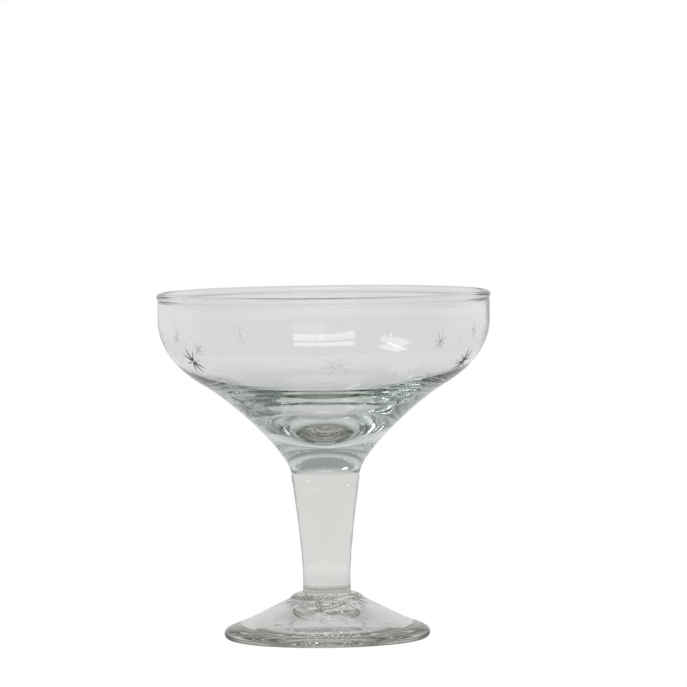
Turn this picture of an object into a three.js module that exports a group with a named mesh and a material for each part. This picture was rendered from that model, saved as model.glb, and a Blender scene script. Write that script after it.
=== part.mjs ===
// Champagne coupe of thick clear glass, in millimetres, +Z up.
// The origin is on the table, under the middle of the foot.
// Three gathers of glass are stuck to each other: the foot, the stem and the bowl.
import * as THREE from 'three';

// Foot: a cone of even thickness with a thick rounded edge, and heights above the table
const FOOT_DIAMETER = 68.2;
const FOOT_WIDEST_HEIGHT = 2.2;
const FOOT_EDGE_HEIGHT = 7;
const FOOT_EDGE_WIDTH = 8.7;
const REST_RING_DIAMETER = 63;
const REST_RING_WIDTH = 4.7;
const UNDERSIDE_RISE = 8.1;
const UNDERSIDE_SLOPE = 0.32;
const COLLAR_HEIGHT = 15.5;
const COLLAR_DIAMETER = 25;
const COLLAR_DROP = 2.1;
const COLLAR_TOP_WIDTH = 2.5;

// Stem: a solid rod that stands in the collar and widens towards the bowl
const STEM_LENGTH = 39.6;
const STEM_TOP_DIAMETER = 22.8;
const STEM_TOP_TAPER = 0.125;
const STEM_WAIST_DIAMETER = 15.7;
const STEM_WAIST_RISE = 6.2;
const STEM_END_DIAMETER = 16.4;
const STEM_SEAT_DEPTH = 2.8;
const SEAT_CLEARANCE = 0.3;

// Bowl: flare, shoulder and straight wall stand on each other, from the stem up
const FLARE_HEIGHT = 29.3;
const FLARE_DIAMETER = 79.8;
const FLARE_SLOPE = 0.565;
const SHOULDER_HEIGHT = 21.3;
const STRAIGHT_WALL_HEIGHT = 9.5;
const BOWL_DIAMETER = 110;
const WALL_THICKNESS = 2.4;
const FLARE_THICKNESS = 4.6;
const BASE_THICKNESS = 13.1;
const HOLLOW_SLOPE = 0.71;
const BEAD_WIDTH = 3.2;
const BEAD_HEIGHT = 2.7;
const BEAD_STAND = 0.35;
const BEAD_BLEND = 0.8;

// Share of the flare's curve at which its thickness is given
const FLARE_SHARE = 0.7;

// How far each curve runs along the direction of its end before it turns
const EDGE_SIDE_PULL = 2.2;
const EDGE_TOP_PULL = 4;
const UNDERSIDE_TOP_PULL = 8.2;
const UNDERSIDE_RING_PULL = 12.9;
const STEM_WAIST_PULL = 6.1;
const STEM_TOP_PULL = 10.4;
const FLARE_NECK_PULL = 7.4;
const FLARE_TOP_PULL = 9.4;
const SHOULDER_LOW_PULL = 10.1;
const SHOULDER_TOP_PULL = 8.6;
const HOLLOW_WALL_PULL = 18;
const HOLLOW_HIGH_PULL = 6;
const HOLLOW_LOW_PULL = 13.5;
const HOLLOW_BOTTOM_PULL = 6.5;

// Facets
const SIDES = 64;
const LONG_CURVE_STEPS = 9;
const SHORT_CURVE_STEPS = 5;
const BEAD_STEPS = 8;

// Heights of the seams, and radii that two pieces share
const SEAT_Z = COLLAR_HEIGHT - STEM_SEAT_DEPTH;
const NECK_Z = COLLAR_HEIGHT + STEM_LENGTH;
const NECK_RADIUS = STEM_TOP_DIAMETER / 2;
const STEM_END_RADIUS = STEM_END_DIAMETER / 2;
const SOCKET_RADIUS = STEM_END_RADIUS + SEAT_CLEARANCE;

function point(radius, height) {
  return new THREE.Vector2(radius, height);
}

// Unit direction that goes outwards by run and up by rise
function direction(run, rise) {
  return point(run, rise).normalize();
}

function moved(start, along, distance) {
  return start.clone().addScaledVector(along, distance);
}

// Points of a smooth curve, without its first point
function curve(start, startPull, endPull, end, steps) {
  return new THREE.CubicBezierCurve(start, startPull, endPull, end).getPoints(steps).slice(1);
}

// Points of a bend round a corner, without its first point
function bend(start, corner, end, steps) {
  return new THREE.QuadraticBezierCurve(start, corner, end).getPoints(steps).slice(1);
}

// A solid of revolution, from an outline that goes from the axis round the outside and back
function turned(name, outline, material) {
  const geometry = new THREE.LatheGeometry(outline, SIDES);
  geometry.rotateX(Math.PI / 2);
  const mesh = new THREE.Mesh(geometry, material);
  mesh.name = name;
  return mesh;
}

function clearGlass(color) {
  return new THREE.MeshStandardMaterial({ color, roughness: 0.03, metalness: 0, transparent: true, opacity: 0.35 });
}

// Hollow underside, flat rest ring, rounded edge, cone, and collar with the stem's socket
function makeFoot() {
  const undersideTop = point(0, UNDERSIDE_RISE);
  const ringOuter = point(REST_RING_DIAMETER / 2, 0);
  const ringInner = point(ringOuter.x - REST_RING_WIDTH, 0);
  const widest = point(FOOT_DIAMETER / 2, FOOT_WIDEST_HEIGHT);
  const edgeTop = point(widest.x - FOOT_EDGE_WIDTH, FOOT_EDGE_HEIGHT);
  const collarFoot = point(COLLAR_DIAMETER / 2, COLLAR_HEIGHT - COLLAR_DROP);
  const collarTop = point(SOCKET_RADIUS, COLLAR_HEIGHT);
  const intoHollow = direction(-1, UNDERSIDE_SLOPE);
  const downCone = edgeTop.clone().sub(collarFoot).normalize();
  const outline = [
    undersideTop,
    ...curve(undersideTop, point(UNDERSIDE_TOP_PULL, UNDERSIDE_RISE),
      moved(ringInner, intoHollow, UNDERSIDE_RING_PULL), ringInner, LONG_CURVE_STEPS),
    ringOuter,
    ...bend(ringOuter, point(widest.x, 0), widest, SHORT_CURVE_STEPS),
    ...curve(widest, point(widest.x, FOOT_WIDEST_HEIGHT + EDGE_SIDE_PULL),
      moved(edgeTop, downCone, EDGE_TOP_PULL), edgeTop, SHORT_CURVE_STEPS),
    collarFoot,
    ...bend(collarFoot, point(SOCKET_RADIUS + COLLAR_TOP_WIDTH, COLLAR_HEIGHT), collarTop, SHORT_CURVE_STEPS),
    point(SOCKET_RADIUS, SEAT_Z),
    point(0, SEAT_Z),
  ];
  return turned('foot', outline, clearGlass(0xd3d9d6));
}

// Its flat ends lie against the socket's floor and the bowl's base
function makeStem() {
  const end = point(STEM_END_RADIUS, COLLAR_HEIGHT);
  const waist = point(STEM_WAIST_DIAMETER / 2, COLLAR_HEIGHT + STEM_WAIST_RISE);
  const top = point(NECK_RADIUS, NECK_Z);
  const downStem = direction(-STEM_TOP_TAPER, -1);
  const outline = [
    point(0, SEAT_Z),
    point(STEM_END_RADIUS, SEAT_Z),
    end,
    ...bend(end, point(waist.x, COLLAR_HEIGHT), waist, SHORT_CURVE_STEPS),
    ...curve(waist, point(waist.x, waist.y + STEM_WAIST_PULL), moved(top, downStem, STEM_TOP_PULL),
      top, LONG_CURVE_STEPS),
    point(0, NECK_Z),
  ];
  return turned('stem', outline, clearGlass(0xd4d6d2));
}

// Flat seat on the stem, flare, shoulder, straight wall and rounded rim, then the hollow back down to the axis
function makeBowl() {
  const wallRadius = BOWL_DIAMETER / 2;
  const innerRadius = wallRadius - WALL_THICKNESS;
  const flareZ = NECK_Z + FLARE_HEIGHT;
  const shoulderZ = flareZ + SHOULDER_HEIGHT;
  const rimZ = shoulderZ + STRAIGHT_WALL_HEIGHT;
  const beadMiddle = point(wallRadius + BEAD_STAND - BEAD_WIDTH / 2, rimZ - BEAD_HEIGHT / 2);
  const wallTopZ = rimZ - BEAD_HEIGHT - BEAD_BLEND;

  const neck = point(NECK_RADIUS, NECK_Z);
  const flare = point(FLARE_DIAMETER / 2, flareZ);
  const shoulder = point(wallRadius, shoulderZ);
  const upNeck = direction(STEM_TOP_TAPER, 1);
  const upFlare = direction(1, FLARE_SLOPE);
  const flareCurve = new THREE.CubicBezierCurve(neck, moved(neck, upNeck, FLARE_NECK_PULL),
    moved(flare, upFlare, -FLARE_TOP_PULL), flare);

  const alongFlare = flareCurve.getTangent(FLARE_SHARE);
  const acrossFlare = point(-alongFlare.y, alongFlare.x);
  const innerFlare = moved(flareCurve.getPoint(FLARE_SHARE), acrossFlare, FLARE_THICKNESS);
  const upHollow = direction(1, HOLLOW_SLOPE);
  const innerShoulder = point(innerRadius, shoulderZ);
  const innerBottom = point(0, NECK_Z + BASE_THICKNESS);

  const bead = new THREE.EllipseCurve(beadMiddle.x, beadMiddle.y, BEAD_WIDTH / 2, BEAD_HEIGHT / 2,
    -Math.PI / 6, Math.PI);
  const outline = [
    point(0, NECK_Z),
    neck,
    ...flareCurve.getPoints(LONG_CURVE_STEPS).slice(1),
    ...curve(flare, moved(flare, upFlare, SHOULDER_LOW_PULL), point(wallRadius, shoulderZ - SHOULDER_TOP_PULL),
      shoulder, LONG_CURVE_STEPS),
    point(wallRadius, wallTopZ),
    ...bead.getPoints(BEAD_STEPS),
    point(innerRadius, wallTopZ),
    innerShoulder,
    ...curve(innerShoulder, point(innerRadius, shoulderZ - HOLLOW_WALL_PULL),
      moved(innerFlare, upHollow, HOLLOW_HIGH_PULL), innerFlare, LONG_CURVE_STEPS),
    ...curve(innerFlare, moved(innerFlare, upHollow, -HOLLOW_LOW_PULL), point(HOLLOW_BOTTOM_PULL, innerBottom.y),
      innerBottom, LONG_CURVE_STEPS),
  ];
  return turned('bowl', outline, clearGlass(0xd6d8d7));
}

const coupe = new THREE.Group();
coupe.add(makeFoot(), makeStem(), makeBowl());
export default coupe;
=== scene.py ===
"""A champagne coupe of thick clear glass: bowl, stem and foot as closed turned meshes, fused where they
meet, with stars cut into the bowl, in a white studio and seen as in the photograph."""
import math

import bpy
import numpy as np
from mathutils import Matrix, Vector, geometry, noise


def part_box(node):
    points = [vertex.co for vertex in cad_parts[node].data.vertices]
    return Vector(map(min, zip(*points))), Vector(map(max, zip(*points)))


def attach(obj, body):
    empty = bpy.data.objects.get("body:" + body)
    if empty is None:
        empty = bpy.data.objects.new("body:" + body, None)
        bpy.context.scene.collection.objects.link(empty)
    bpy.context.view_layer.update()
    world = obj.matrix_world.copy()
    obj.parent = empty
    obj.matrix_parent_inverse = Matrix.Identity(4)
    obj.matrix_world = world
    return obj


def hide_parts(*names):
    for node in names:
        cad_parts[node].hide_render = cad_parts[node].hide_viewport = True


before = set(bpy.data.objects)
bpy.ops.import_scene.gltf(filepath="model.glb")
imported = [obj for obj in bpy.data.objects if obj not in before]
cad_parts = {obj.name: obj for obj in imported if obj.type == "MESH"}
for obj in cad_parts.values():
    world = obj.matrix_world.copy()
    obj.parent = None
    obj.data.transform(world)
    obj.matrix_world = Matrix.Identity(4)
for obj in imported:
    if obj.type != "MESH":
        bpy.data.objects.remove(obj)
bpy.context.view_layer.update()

# Outlines are in millimetres, and meshes are in metres
MM = 0.001

# Heights and widths that the CAD pieces give
NECK_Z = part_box("bowl")[0][2] / MM
RIM_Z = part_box("bowl")[1][2] / MM
SEAT_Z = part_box("stem")[0][2] / MM
COLLAR_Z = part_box("foot")[1][2] / MM
FOOT_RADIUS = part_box("foot")[1][0] / MM

# Foot. Points of an outline are a radius and a height
FOOT_WIDEST_Z = 2.2
EDGE_TOP = (25.4, 7.0)
REST_RING_OUTER = 31.5
REST_RING_WIDTH = 4.7
UNDERSIDE_RISE = 8.1
UNDERSIDE_SLOPE = 0.32
COLLAR_FOOT = (12.5, 13.4)
COLLAR_CORNER_RADIUS = 11.0

# Stem
STEM_END_RADIUS = 8.2
WAIST = (7.85, 21.7)
NECK_RADIUS = 11.4
NECK_TAPER = 0.125

# Bowl, with the ends of its round bead in degrees
FLARE = (39.9, 84.4)
FLARE_SLOPE = 0.565
SHOULDER_Z = 105.7
BOWL_RADIUS = 55.0
WALL = 2.4
FLARE_SHARE = 0.7
FLARE_THICKNESS = 4.6
BASE_THICKNESS = 13.1
HOLLOW_SLOPE = 0.71
BEAD_WIDTH = 3.2
BEAD_HEIGHT = 2.7
BEAD_STAND = 0.35
BEAD_BLEND = 0.8
BEAD_START = -30.0
BEAD_END = 180.0

# How far each curve runs along the direction of its end before it turns
EDGE_SIDE_PULL = 2.2
EDGE_TOP_PULL = 4.0
UNDERSIDE_TOP_PULL = 8.2
UNDERSIDE_RING_PULL = 12.9
WAIST_PULL = 6.1
NECK_PULL = 10.4
FLARE_NECK_PULL = 7.4
FLARE_TOP_PULL = 9.4
SHOULDER_LOW_PULL = 10.1
SHOULDER_TOP_PULL = 8.6
BEAD_PULL = 0.8
HOLLOW_WALL_PULL = 18.0
HOLLOW_HIGH_PULL = 6.0
HOLLOW_LOW_PULL = 13.5
HOLLOW_BOTTOM_PULL = 6.5

# Waves of bowl and stem: how far each stands out, its lobes round the glass, their turn in radians for
# each millimetre of height, and their start. They set in over some height from the ends
BOWL_WAVES = ((0.05, 2, 0.08, 0.0), (0.03, 3, -0.05, 1.0))
BOWL_EVEN_HEIGHT = 1.0
BOWL_WAVY_HEIGHT = 14.0
STEM_WAVES = ((0.04, 2, 0.2, 0.0), (0.015, 0, 0.55, 0.0))
STEM_LOW_FADE = 5.0
STEM_HIGH_FADE = 6.0

# Low uneven ring at the top of the stem
NECK_RING_DROP = 2.4
NECK_RING_WIDTH = 1.0
NECK_RING_STAND = 0.15
NECK_RING_UNEVEN = 0.3
NECK_RING_LOBES = 3

# Wrinkles of the hollow, the underside and the scar in its middle: how far they stand out, their length,
# and the radii over which they set in and end
HOLLOW_WRINKLES = 0.06
HOLLOW_PITCH = 12.0
HOLLOW_START = (8.0, 16.0)
HOLLOW_END = (28.0, 40.0)
UNDERSIDE_WRINKLES = 0.03
UNDERSIDE_PITCH = 8.0
UNDERSIDE_START = (0.0, 4.0)
UNDERSIDE_END = (20.0, 26.0)
SCAR_WRINKLES = 1.0
SCAR_PITCH = 4.0
SCAR_END = (8.0, 12.0)
WRINKLE_FALL = 0.8
WRINKLE_STEP = 2.0

# Stars: angle from the camera's side, positive to its right, then height, and depth beside the others
LARGE_STARS = ((-57.0, 93.8, 1.2), (4.4, 93.0, 0.95), (65.3, 92.7, 1.0), (183.0, 94.0, 0.8))
SMALL_STARS = ((104.0, 101.5, 1.0), (130.4, 97.9, 1.4), (155.2, 101.8, 1.0), (213.2, 101.3, 0.95),
               (235.4, 96.9, 1.4), (251.0, 100.8, 1.0))
LARGE_RAY = 5.6
SMALL_RAY = 3.8
STAR_RAYS = 8
STAR_TURN = 11.0
CUT_WIDTH_SHARE = 0.085
CUT_DEPTH_SHARE = 0.028
RAY_STOPS = (0.0, 0.3, 0.6, 0.85)
STAR_ROOM = 0.9
CUT_CLEARANCE = 0.45

# Mesh, with the lengths over which an outline's direction and its turn are measured
COLUMNS = 240
FINE_STEPS = 160
SHARP_TURN = 35.0
SEAM_GAP = 0.005
OUT_STEP = 0.05
TURN_STEP = 0.02
SLACK = 0.01
MERGE_DISTANCE = 1e-5
TINY = 1e-12

# Glass: tint, density and the height of its fine ripple
BOWL_GLASS = ((0.625, 0.715, 0.665), 16.5, 0.02)
STEM_GLASS = ((0.69, 0.71, 0.56), 13.0, 0.03)
FOOT_GLASS = ((0.67, 0.7, 0.61), 14.0, 0.03)
REFRACTION = 1.51
CUT_ROUGHNESS = 0.2
HAZE_ROUGHNESS = 0.02
HAZE_FADE = (0.5, 0.8)
HAZE_SCALE = 90.0
RIPPLE_SCALE = 55.0

# Camera, in metres. The place it looks at is in mm, right of the glass's axis and above the table
PICTURE = 687
PIXELS_PER_MM = 3.024
CAMERA_DISTANCE = 1.797
CAMERA_HEIGHT = 0.186
CAMERA_NEAR = 0.05
CAMERA_AIM = (6.45, 97.81)
CAMERA_ROLL = 0.66
SENSOR = 36.0

# Light of the room. Walls are at degrees from straight behind the glass, positive to the right
WHITE = (1.0, 1.0, 1.0, 1.0)
WALLS = ((-90.0, 0.2), (-55.0, 0.75), (55.0, 0.75), (90.0, 0.16))
FRONT_LIGHT = 0.55
CEILING_LIGHT = 0.38
CEILING_FADE = (0.05, 0.8)

# Light of the floor, which glows in place of being lit, in rings of a radius in metres, and far away. The
# rings are a painted shadow round the foot with painted light gathered under its middle, and painted shade
# makes the floor dimmer towards the camera
FLOOR_PAINTED_SHADOW_RINGS = ((0.0, 0.62), (0.008, 0.56), (0.012, 0.22), (0.016, 0.52), (0.021, 0.75), (0.028, 0.36),
               (0.046, 0.24), (0.075, 0.5), (0.125, 0.71), (0.3, 0.75))
FLOOR_LIGHT = 0.79
FLOOR_REACH = 0.5
FLOOR_FRONT_PAINTED_SHADE = 0.6
FLOOR_SIZE = 6.0
FLOOR_DROP = 0.2

# Light panels: metres from the place that they face, and its height
SOFTBOX_DISTANCE = 1.2
SOFTBOX_AIM = 0.09

# Turns that light may take in the glass
BOUNCES = 32
GLOSSY_BOUNCES = 16


def unit(run, rise):
    """Direction that goes outwards by run and up by rise."""
    return np.array((run, rise)) / math.hypot(run, rise)


def line(start, end):
    """Fine points of a straight line."""
    t = np.linspace(0, 1, FINE_STEPS + 1)[:, None]
    return (1 - t) * np.array(start) + t * np.array(end)


def curve(start, start_pull, end_pull, end):
    """Fine points of a smooth curve from start to end."""
    t = np.linspace(0, 1, FINE_STEPS + 1)[:, None]
    p = [np.array(q, float) for q in (start, start_pull, end_pull, end)]
    return (1 - t) ** 3 * p[0] + 3 * (1 - t) ** 2 * t * p[1] + 3 * (1 - t) * t ** 2 * p[2] + t ** 3 * p[3]


def bend(start, corner, end):
    """Fine points of a curve round a corner."""
    t = np.linspace(0, 1, FINE_STEPS + 1)[:, None]
    p = [np.array(q, float) for q in (start, corner, end)]
    return (1 - t) ** 2 * p[0] + 2 * (1 - t) * t * p[1] + t ** 2 * p[2]


def arc(middle, width, height, start, end):
    """Fine points of a part of an ellipse, from one angle to another."""
    a = np.radians(np.linspace(start, end, FINE_STEPS + 1))
    return np.stack((middle[0] + width / 2 * np.cos(a), middle[1] + height / 2 * np.sin(a)), 1)


def smooth(low, high, value):
    """0 up to low, 1 from high on, and a smooth change between them."""
    t = np.clip((value - low) / (high - low), 0, 1)
    return t * t * (3 - 2 * t)


def between(start, end, value):
    """1 from the end of one fade to the start of another, and 0 outside both."""
    return smooth(*start, value) * (1 - smooth(*end, value))


class Outline:
    """An outline from the axis round the outside and back, with the rows of its mesh. A step is
    (fine points, rows, True for a seam)."""

    def __init__(self, steps):
        points, lengths, rows, seams, at = [], [], [0.0], [], 0.0
        for fine, count, seam in steps:
            run = np.concatenate(((0,), np.cumsum(np.hypot(*np.diff(fine, axis=0).T))))
            points.append(fine)
            lengths.append(at + run)
            rows += [at + run[-1] * (i + 1) / count for i in range(count)]
            seams += [seam] * count
            at += run[-1]
        self.points, self.lengths = np.concatenate(points), np.concatenate(lengths)
        self.rows, self.seams = np.array(rows), seams
        self.top = self.lengths[np.argmax(self.points[:, 1])]

    def at(self, length):
        """Radius and height at a length along the outline."""
        return np.array([np.interp(length, self.lengths, c) for c in self.points.T])

    def out(self, length):
        """Direction out of the glass at a length along the outline."""
        ahead = self.at(length + OUT_STEP) - self.at(length - OUT_STEP)
        return np.array((ahead[1], -ahead[0])) / max(np.hypot(*ahead), TINY)

    def turn(self, length):
        """Degrees that the outline turns by at a length along it."""
        after = self.at(length + TURN_STEP) - self.at(length)
        before = self.at(length) - self.at(length - TURN_STEP)
        cosine = after @ before / max(np.hypot(*after) * np.hypot(*before), TINY)
        return math.degrees(math.acos(min(max(cosine, -1), 1)))

    def length_at_height(self, height):
        """Length along the outline where its outside is at that height."""
        outside = self.lengths < self.top
        return self.lengths[outside][np.argmin(np.abs(self.points[outside, 1] - height))]


def star(middle, ray, turned, depth):
    """A star of crossing cuts round middle: points, their depths and the edges between them."""
    half_width = CUT_WIDTH_SHARE * ray
    cut_depth = depth * CUT_DEPTH_SHARE * ray
    points, depths, edges = [middle], [cut_depth], []
    half_turn = math.pi / STAR_RAYS
    # Where the sides of two neighbouring rays meet
    a = half_width / ray ** 2
    b = math.tan(half_turn)
    meet = (-b + math.sqrt(b * b + 4 * a * half_width)) / (2 * a)
    stops = [meet + (ray - meet) * share for share in RAY_STOPS]

    def add(along, across, below, angle):
        c, s = math.cos(angle), math.sin(angle)
        points.append((middle[0] + along * c - across * s, middle[1] + along * s + across * c))
        depths.append(below)
        return len(points) - 1

    corners = []
    for k in range(STAR_RAYS):
        corners.append(add(meet / math.cos(half_turn), 0, 0, turned + (2 * k + 1) * half_turn))
    for k in range(STAR_RAYS):
        angle = turned + 2 * k * half_turn
        bottom, left, right = [0], [corners[k]], [corners[k - 1]]
        for n, stop in enumerate(stops):
            share = 1 - (stop / ray) ** 2
            bottom.append(add(stop, 0, cut_depth * share, angle))
            if n:
                left.append(add(stop, half_width * share, 0, angle))
                right.append(add(stop, -half_width * share, 0, angle))
        tip = add(ray, 0, 0, angle)
        for path in (bottom, left, right):
            path.append(tip)
            edges += list(zip(path, path[1:]))
        edges += [(0, corners[k])]
    return points, depths, edges


def linked(name, data):
    """A new object of the scene."""
    obj = bpy.data.objects.new(name, data)
    bpy.context.scene.collection.objects.link(obj)
    return obj


class TurnedMesh:
    """The vertices and faces of an outline turned about Z, with cuts in its surface. uneven gives how far
    the surface stands out of its true shape, in mm, from the angle, the radius, the height and whether it
    is inside."""

    def __init__(self, outline, uneven):
        self.outline, self.uneven = outline, uneven
        self.verts, self.faces, self.cut, self.seam, self.sharp = [], [], [], [], []
        self.taken = set()
        self.grid = []
        for row, length in enumerate(outline.rows):
            if row in (0, len(outline.rows) - 1):
                self.grid.append([self.vertex(0, length)] * COLUMNS)
            else:
                self.grid.append([self.vertex(2 * math.pi * c / COLUMNS, length) for c in range(COLUMNS)])
            if 0 < row < len(outline.rows) - 1 and outline.turn(length) > SHARP_TURN:
                ring = self.grid[-1]
                self.sharp += [(ring[c - 1], ring[c]) for c in range(COLUMNS)]

    def vertex(self, angle, length, depth=0.0):
        radius, height = self.outline.at(length)
        out = self.outline.out(length)
        stand = self.uneven(angle, radius, height, length > self.outline.top) - depth
        radius, height = radius + out[0] * stand, height + out[1] * stand
        self.verts.append((radius * math.sin(angle) * MM, -radius * math.cos(angle) * MM, height * MM))
        return len(self.verts) - 1

    def face(self, corners, seam=False, cut=False):
        corners = [v for n, v in enumerate(corners) if v != corners[n - 1]]
        self.faces.append(corners)
        self.seam.append(float(seam))
        self.cut.append(float(cut))

    def fill(self):
        """Faces between the rows, apart from the cells that the stars have taken."""
        for row in range(len(self.outline.rows) - 1):
            for c in range(COLUMNS):
                if (row, c) in self.taken:
                    continue
                low, high, n = self.grid[row], self.grid[row + 1], (c + 1) % COLUMNS
                self.face((low[c], low[n], high[n], high[c]), seam=self.outline.seams[row])

    def cut_star(self, angle, height, depth, ray):
        """Cuts a star into the surface and takes the cells round it."""
        length = self.outline.length_at_height(height)
        radius = self.outline.at(length)[0]
        angle = math.radians(angle) % (2 * math.pi)
        points, depths, edges = star((angle * radius, length), ray, math.radians(STAR_TURN), depth)
        segments = [(Vector(points[a]), Vector(points[b])) for a, b in edges]
        room = ray + STAR_ROOM
        rows = self.outline.rows
        first = int(np.searchsorted(rows, length - room)) - 1
        last = int(np.searchsorted(rows, length + room))
        step = 2 * math.pi / COLUMNS
        left = math.floor((angle - room / radius) / step)
        right = math.ceil((angle + room / radius) / step)

        def place(cell):
            row, column = cell
            return Vector((column * step * radius, rows[row]))

        def clear(cell):
            spot = place(cell)
            for start, end in segments:
                nearest, share = geometry.intersect_point_line(spot, start, end)
                nearest = start if share < 0 else end if share > 1 else nearest.to_2d()
                if (spot - nearest).length <= CUT_CLEARANCE:
                    return False
            return True

        # Rim of the cells first, then the grid's points inside that are clear of the cuts, then the star
        rim = [(first, c) for c in range(left, right)] + [(r, right) for r in range(first, last)]
        rim += [(last, c) for c in range(right, left, -1)] + [(r, left) for r in range(last, first, -1)]
        inner = [(r, c) for r in range(first + 1, last) for c in range(left + 1, right)]
        cells = rim + [cell for cell in inner if clear(cell)]
        known = [self.grid[r][c % COLUMNS] for r, c in cells]
        known += [self.vertex(p[0] / radius, p[1], d) for p, d in zip(points, depths)]
        flat = [place(cell) for cell in cells] + [Vector(p) for p in points]
        count = len(cells)
        ring = [(n, (n + 1) % len(rim)) for n in range(len(rim))]
        lines = ring + [(a + count, b + count) for a, b in edges]
        _, _, triangles, sources, _, _ = geometry.delaunay_2d_cdt(flat, lines, [], 0, MERGE_DISTANCE, True)
        depth_of = [0.0] * count + depths
        for triangle in triangles:
            corners = [sources[v][0] for v in triangle]
            a, b, c = (flat[v] for v in corners)
            if (b - a).cross(c - a) < 0:
                corners.reverse()
            self.face([known[v] for v in corners], cut=max(depth_of[v] for v in corners) > 0)
        self.sharp += [(known[a + count], known[b + count]) for a, b in edges]
        self.taken.update((r, c % COLUMNS) for r in range(first, last) for c in range(left, right))

    def piece(self, name, node, material):
        """Makes the object, in place of a node of the CAD part."""
        mesh = bpy.data.meshes.new(name)
        mesh.from_pydata(self.verts, [], self.faces)
        mesh.update()
        mesh.shade_smooth()
        for label, values in (("seam", self.seam), ("cut", self.cut)):
            mesh.attributes.new(label, "FLOAT", "FACE").data.foreach_set("value", values)
        sharp = {tuple(sorted(e)) for e in self.sharp}
        keys = (tuple(sorted(e.vertices)) in sharp for e in mesh.edges)
        mesh.attributes.new("sharp_edge", "BOOLEAN", "EDGE").data.foreach_set("value", list(keys))
        mesh.materials.append(material)
        obj = linked(name, mesh)
        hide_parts(node)
        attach(obj, "root")


def bowl_outline():
    neck = np.array((NECK_RADIUS, NECK_Z + SEAM_GAP))
    up_neck, up_flare = unit(NECK_TAPER, 1), unit(1, FLARE_SLOPE)
    flare = np.array(FLARE)
    flare_curve = curve(neck, neck + FLARE_NECK_PULL * up_neck, flare - FLARE_TOP_PULL * up_flare, flare)
    middle = round(FLARE_SHARE * FINE_STEPS)
    along = unit(*(flare_curve[middle + 1] - flare_curve[middle - 1]))
    inner_flare = flare_curve[middle] + FLARE_THICKNESS * np.array((-along[1], along[0]))
    up_hollow = unit(1, HOLLOW_SLOPE)
    inner = BOWL_RADIUS - WALL
    bead = np.array((BOWL_RADIUS + BEAD_STAND - BEAD_WIDTH / 2, RIM_Z - BEAD_HEIGHT / 2))
    round_bead = arc(bead, BEAD_WIDTH, BEAD_HEIGHT, BEAD_START, BEAD_END)
    up_bead = unit(*(round_bead[1] - round_bead[0]))
    wall_top = RIM_Z - BEAD_HEIGHT - BEAD_BLEND
    bottom = NECK_Z + BASE_THICKNESS
    return Outline([
        (line((0, neck[1]), neck), 3, True),
        (flare_curve, 30, False),
        (curve(flare, flare + SHOULDER_LOW_PULL * up_flare, (BOWL_RADIUS, SHOULDER_Z - SHOULDER_TOP_PULL),
               (BOWL_RADIUS, SHOULDER_Z)), 22, False),
        (line((BOWL_RADIUS, SHOULDER_Z), (BOWL_RADIUS, wall_top)), 5, False),
        (curve((BOWL_RADIUS, wall_top), (BOWL_RADIUS, wall_top + BEAD_PULL),
               round_bead[0] - BEAD_PULL * up_bead, round_bead[0]), 3, False),
        (round_bead, 12, False),
        (curve(round_bead[-1], round_bead[-1] - (0, BEAD_PULL), (inner, wall_top + BEAD_PULL),
               (inner, wall_top)), 4, False),
        (line((inner, wall_top), (inner, SHOULDER_Z)), 5, False),
        (curve((inner, SHOULDER_Z), (inner, SHOULDER_Z - HOLLOW_WALL_PULL),
               inner_flare + HOLLOW_HIGH_PULL * up_hollow, inner_flare), 26, False),
        (curve(inner_flare, inner_flare - HOLLOW_LOW_PULL * up_hollow, (HOLLOW_BOTTOM_PULL, bottom),
               (0, bottom)), 26, False),
    ])


def stem_outline():
    top = np.array((NECK_RADIUS, NECK_Z))
    end = np.array((STEM_END_RADIUS, COLLAR_Z))
    return Outline([
        (line((0, SEAT_Z), (STEM_END_RADIUS, SEAT_Z)), 3, True),
        (line((STEM_END_RADIUS, SEAT_Z), end), 2, True),
        (bend(end, (WAIST[0], COLLAR_Z), WAIST), 8, False),
        (curve(WAIST, (WAIST[0], WAIST[1] + WAIST_PULL), top - NECK_PULL * unit(NECK_TAPER, 1),
               top), 30, False),
        (line(top, (0, NECK_Z)), 3, True),
    ])


def foot_outline():
    ring_outer = np.array((REST_RING_OUTER, 0))
    ring_inner = np.array((REST_RING_OUTER - REST_RING_WIDTH, 0))
    widest = np.array((FOOT_RADIUS, FOOT_WIDEST_Z))
    edge_top, collar_foot = np.array(EDGE_TOP), np.array(COLLAR_FOOT)
    down_cone = unit(*(edge_top - collar_foot))
    socket = STEM_END_RADIUS + SEAM_GAP
    floor = SEAT_Z - SEAM_GAP
    return Outline([
        (curve((0, UNDERSIDE_RISE), (UNDERSIDE_TOP_PULL, UNDERSIDE_RISE),
               ring_inner + UNDERSIDE_RING_PULL * unit(-1, UNDERSIDE_SLOPE), ring_inner), 44, False),
        (line(ring_inner, ring_outer), 3, False),
        (bend(ring_outer, (FOOT_RADIUS, 0), widest), 6, False),
        (curve(widest, widest + (0, EDGE_SIDE_PULL), edge_top + EDGE_TOP_PULL * down_cone,
               edge_top), 12, False),
        (line(edge_top, collar_foot), 10, False),
        (bend(collar_foot, (COLLAR_CORNER_RADIUS, COLLAR_Z), (socket, COLLAR_Z)), 8, False),
        (line((socket, COLLAR_Z), (socket, floor)), 2, True),
        (line((socket, floor), (0, floor)), 3, True),
    ])


def lobes(waves, angle, height):
    """How far the waves together stand out at an angle and a height."""
    return sum(stand * math.sin(count * angle + twist * height + start)
               for stand, count, twist, start in waves)


def wrinkles(angle, radius, height, pitch, octaves):
    """Uneven flow of the glass: about -1 to 1, with waves about as long as pitch and finer ones on them."""
    place = Vector((radius * math.sin(angle), radius * math.cos(angle), height))
    return noise.fractal(place / pitch, WRINKLE_FALL, WRINKLE_STEP, octaves)


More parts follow.
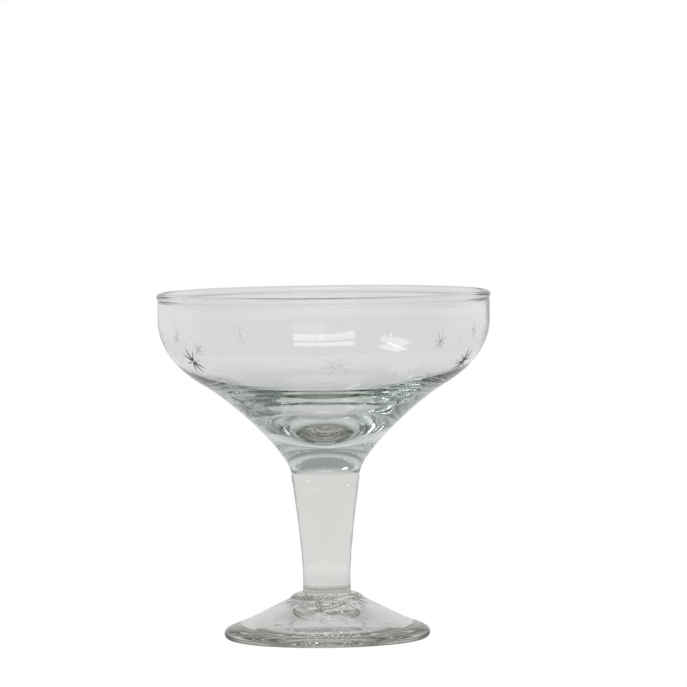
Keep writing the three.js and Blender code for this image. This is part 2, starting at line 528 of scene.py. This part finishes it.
def bowl_uneven(angle, radius, height, inside):
    """Hand-blown glass is a little out of round, and its hollow is wavy where the glass is thick."""
    rise = smooth(NECK_Z + BOWL_EVEN_HEIGHT, NECK_Z + BOWL_WAVY_HEIGHT, height)
    stand = lobes(BOWL_WAVES, angle, height)
    if inside:
        thick = between(HOLLOW_START, HOLLOW_END, radius)
        stand += HOLLOW_WRINKLES * thick * wrinkles(angle, radius, height, HOLLOW_PITCH, octaves=3)
    return rise * stand


def stem_uneven(angle, radius, height, inside):
    """The drawn rod is wavy, with a low uneven ring where it was stuck to the bowl."""
    ring = math.exp(-((height - NECK_Z + NECK_RING_DROP) / NECK_RING_WIDTH) ** 2)
    uneven = 1 - NECK_RING_UNEVEN + NECK_RING_UNEVEN * math.sin(NECK_RING_LOBES * angle)
    ring *= NECK_RING_STAND * uneven
    low, high = (COLLAR_Z, COLLAR_Z + STEM_LOW_FADE), (NECK_Z - STEM_HIGH_FADE, NECK_Z)
    return ring + between(low, high, height) * lobes(STEM_WAVES, angle, height)


def foot_uneven(angle, radius, height, inside):
    """The middle of the underside is torn and wrinkled where the rod was broken off."""
    if height > UNDERSIDE_RISE + SLACK or radius > REST_RING_OUTER - REST_RING_WIDTH:
        return 0.0
    scar = 1 - smooth(*SCAR_END, radius)
    around = between(UNDERSIDE_START, UNDERSIDE_END, radius)
    torn = SCAR_WRINKLES * scar * wrinkles(angle, radius, 0, SCAR_PITCH, octaves=1)
    return torn + UNDERSIDE_WRINKLES * around * wrinkles(angle, radius, 0, UNDERSIDE_PITCH, octaves=3)


class Nodes:
    """Adds nodes to a tree and links them."""

    def __init__(self, tree):
        self.tree = tree
        tree.nodes.clear()

    def add(self, kind, links=None, **values):
        node = self.tree.nodes.new(kind)
        for name, value in values.items():
            setattr(node, name, value)
        for socket, source in (links or {}).items():
            if isinstance(source, bpy.types.NodeSocket):
                self.tree.links.new(source, node.inputs[socket])
            else:
                node.inputs[socket].default_value = source
        return node

    def ramp(self, value, low, high, first=0.0, last=1.0, shape="LINEAR"):
        """A value that goes from first to last while another goes from low to high."""
        node = self.add("ShaderNodeMapRange", {
            "Value": value, "From Min": low, "From Max": high, "To Min": first, "To Max": last,
        }, interpolation_type=shape)
        return node.outputs[0]


def empty_material(name):
    material = bpy.data.materials.new(name)
    material.use_nodes = True
    return material, Nodes(material.node_tree)


def grey(light):
    return (light, light, light, 1.0)


def glass(name, tint, density, ripple, cut_roughness=0.0):
    """Clear glass that takes light in its thickness. Seam faces are open, so that fused pieces show no
    joint."""
    material, nodes = empty_material(name)
    place = nodes.add("ShaderNodeTexCoord").outputs["Object"]
    haze = nodes.add("ShaderNodeTexNoise", {"Vector": place, "Scale": HAZE_SCALE, "Detail": 3.0})
    roughness = nodes.ramp(haze.outputs["Fac"], *HAZE_FADE, 0.0, HAZE_ROUGHNESS)
    if cut_roughness:
        cut = nodes.add("ShaderNodeAttribute", attribute_name="cut")
        ground = nodes.add("ShaderNodeMath", {0: cut.outputs["Fac"], 1: cut_roughness, 2: roughness},
                           operation="MULTIPLY_ADD")
        roughness = ground.outputs[0]
    waves = nodes.add("ShaderNodeTexNoise", {"Vector": place, "Scale": RIPPLE_SCALE, "Detail": 1.0})
    bump = nodes.add("ShaderNodeBump", {
        "Height": waves.outputs["Fac"], "Strength": 1.0, "Distance": ripple * MM})
    body = nodes.add("ShaderNodeBsdfPrincipled", {
        "Base Color": WHITE, "Transmission Weight": 1.0, "IOR": REFRACTION,
        "Roughness": roughness, "Normal": bump.outputs[0]})
    seam = nodes.add("ShaderNodeAttribute", attribute_name="seam")
    opened = nodes.add("ShaderNodeBsdfTransparent")
    surface = nodes.add("ShaderNodeMixShader", {
        0: seam.outputs["Fac"], 1: body.outputs[0], 2: opened.outputs[0]})
    depth = nodes.add("ShaderNodeVolumeAbsorption", {"Color": (*tint, 1.0), "Density": density})
    nodes.add("ShaderNodeOutputMaterial", {"Surface": surface.outputs[0], "Volume": depth.outputs[0]})
    return material


def white_to_camera(nodes, strength, shader, output):
    """Light of a strength that changes over the studio, shown to the camera itself as plain white."""
    white = nodes.add(shader, {"Color": WHITE, "Strength": 1.0})
    studio = nodes.add(shader, {"Color": WHITE, "Strength": strength})
    path = nodes.add("ShaderNodeLightPath")
    mixed = nodes.add("ShaderNodeMixShader", {
        0: path.outputs["Is Camera Ray"], 1: studio.outputs[0], 2: white.outputs[0]})
    nodes.add(output, {"Surface": mixed.outputs[0]})


def make_backdrop():
    """A studio that is lightest behind the glass, with a dimmer ceiling and dark side walls."""
    world = bpy.data.worlds.new("studio")
    world.use_nodes = True
    bpy.context.scene.world = world
    nodes = Nodes(world.node_tree)
    way = nodes.add("ShaderNodeSeparateXYZ", {0: nodes.add("ShaderNodeTexCoord").outputs["Generated"]})
    turn = nodes.add("ShaderNodeMath", {0: way.outputs["X"], 1: way.outputs["Y"]}, operation="ARCTAN2")
    walls = nodes.add("ShaderNodeValToRGB", {"Fac": nodes.ramp(turn.outputs[0], -math.pi, math.pi)})
    walls.color_ramp.interpolation = "EASE"
    stops = walls.color_ramp.elements
    for end in stops:
        end.color = grey(FRONT_LIGHT)
    for degrees, light in WALLS:
        stops.new(0.5 + degrees / 360).color = grey(light)
    room = nodes.ramp(way.outputs["Z"], *CEILING_FADE, walls.outputs["Color"], CEILING_LIGHT, "SMOOTHSTEP")
    white_to_camera(nodes, room, "ShaderNodeBackground", "ShaderNodeOutputWorld")


def panel(name, width, height, z, material):
    """A level rectangle about the axis, at a height of z."""
    w, h = width / 2, height / 2
    mesh = bpy.data.meshes.new(name)
    mesh.from_pydata([(-w, -h, z), (w, -h, z), (w, h, z), (-w, h, z)], [], [(0, 1, 2, 3)])
    mesh.materials.append(material)
    obj = linked(name, mesh)
    return obj


def make_floor():
    # The floor glows in place of being lit. Its rings are a painted shadow round the foot with painted
    # light gathered under its middle, and painted shade dims it towards the camera. The camera itself sees
    # it plain white
    material, nodes = empty_material("floor")
    place = nodes.add("ShaderNodeTexCoord").outputs["Object"]
    away = nodes.add("ShaderNodeVectorMath", {0: place}, operation="LENGTH")
    painted_shadow_rings = nodes.add("ShaderNodeValToRGB", {"Fac": nodes.ramp(away.outputs["Value"], 0.0, FLOOR_REACH)})
    stops = painted_shadow_rings.color_ramp.elements
    stops[1].color = grey(FLOOR_LIGHT)
    for radius, light in FLOOR_PAINTED_SHADOW_RINGS:
        stops.new(radius / FLOOR_REACH).color = grey(light)
    # Painted shade: the floor is dimmer towards the camera
    way = nodes.add("ShaderNodeVectorMath", {0: place}, operation="NORMALIZE")
    level = nodes.add("ShaderNodeSeparateXYZ", {0: way.outputs[0]})
    side = nodes.ramp(level.outputs["Y"], -1.0, 1.0, FLOOR_FRONT_PAINTED_SHADE, 1.0, "SMOOTHSTEP")
    light = nodes.add("ShaderNodeMath", {0: painted_shadow_rings.outputs["Color"], 1: side}, operation="MULTIPLY")
    white_to_camera(nodes, light.outputs[0], "ShaderNodeEmission", "ShaderNodeOutputMaterial")
    panel("floor", FLOOR_SIZE, FLOOR_SIZE, -FLOOR_DROP * MM, material)


def softbox(name, azimuth, elevation, width, height, strength, roll=0.0):
    """A bright panel that faces the glass. Azimuth is from the camera's side, positive to its right."""
    material, nodes = empty_material(name)
    light = nodes.add("ShaderNodeEmission", {"Color": WHITE, "Strength": strength})
    nodes.add("ShaderNodeOutputMaterial", {"Surface": light.outputs[0]})
    a, e = math.radians(azimuth), math.radians(elevation)
    way = Vector((math.sin(a) * math.cos(e), -math.cos(a) * math.cos(e), math.sin(e)))
    obj = panel(name, width, height, 0.0, material)
    obj.location = Vector((0, 0, SOFTBOX_AIM)) + SOFTBOX_DISTANCE * way
    level = way.to_track_quat("Z", "Y").to_matrix()
    obj.rotation_euler = (level @ Matrix.Rotation(math.radians(roll), 3, "Z")).to_euler()
    obj.visible_camera = False


def make_camera():
    data = bpy.data.cameras.new("camera")
    obj = linked("camera", data)
    bpy.context.scene.camera = obj
    data.sensor_width = SENSOR
    data.lens = SENSOR * PIXELS_PER_MM / MM * CAMERA_DISTANCE / PICTURE
    data.clip_start = CAMERA_NEAR
    obj.location = (0, -CAMERA_DISTANCE, CAMERA_HEIGHT)
    aim = Vector((CAMERA_AIM[0] * MM, 0, CAMERA_AIM[1] * MM))
    look = (aim - obj.location).to_track_quat("-Z", "Y").to_matrix()
    obj.rotation_euler = (look @ Matrix.Rotation(-math.radians(CAMERA_ROLL), 3, "Z")).to_euler()


def make_glass():
    bowl = TurnedMesh(bowl_outline(), bowl_uneven)
    for stars, ray in ((LARGE_STARS, LARGE_RAY), (SMALL_STARS, SMALL_RAY)):
        for angle, height, depth in stars:
            bowl.cut_star(angle, height, depth, ray)
    bowl.fill()
    bowl.piece("coupe_bowl", "bowl", glass("bowl_glass", *BOWL_GLASS, CUT_ROUGHNESS))

    stem = TurnedMesh(stem_outline(), stem_uneven)
    stem.fill()
    stem.piece("coupe_stem", "stem", glass("stem_glass", *STEM_GLASS))

    foot = TurnedMesh(foot_outline(), foot_uneven)
    foot.fill()
    foot.piece("coupe_foot", "foot", glass("foot_glass", *FOOT_GLASS))


def set_render():
    scene = bpy.context.scene
    scene.view_settings.view_transform = "Standard"
    scene.cycles.max_bounces = BOUNCES
    scene.cycles.transmission_bounces = BOUNCES
    scene.cycles.glossy_bounces = GLOSSY_BOUNCES
    scene.cycles.transparent_max_bounces = BOUNCES


make_glass()
make_backdrop()
make_floor()
softbox("key", azimuth=0, elevation=47, width=0.85, height=0.16, strength=4.6)
softbox("window", azimuth=12, elevation=30.5, width=0.5, height=0.2, strength=1.6)
softbox("side", azimuth=-69, elevation=47, width=0.22, height=0.48, strength=4.2, roll=72)
make_camera()
set_render()
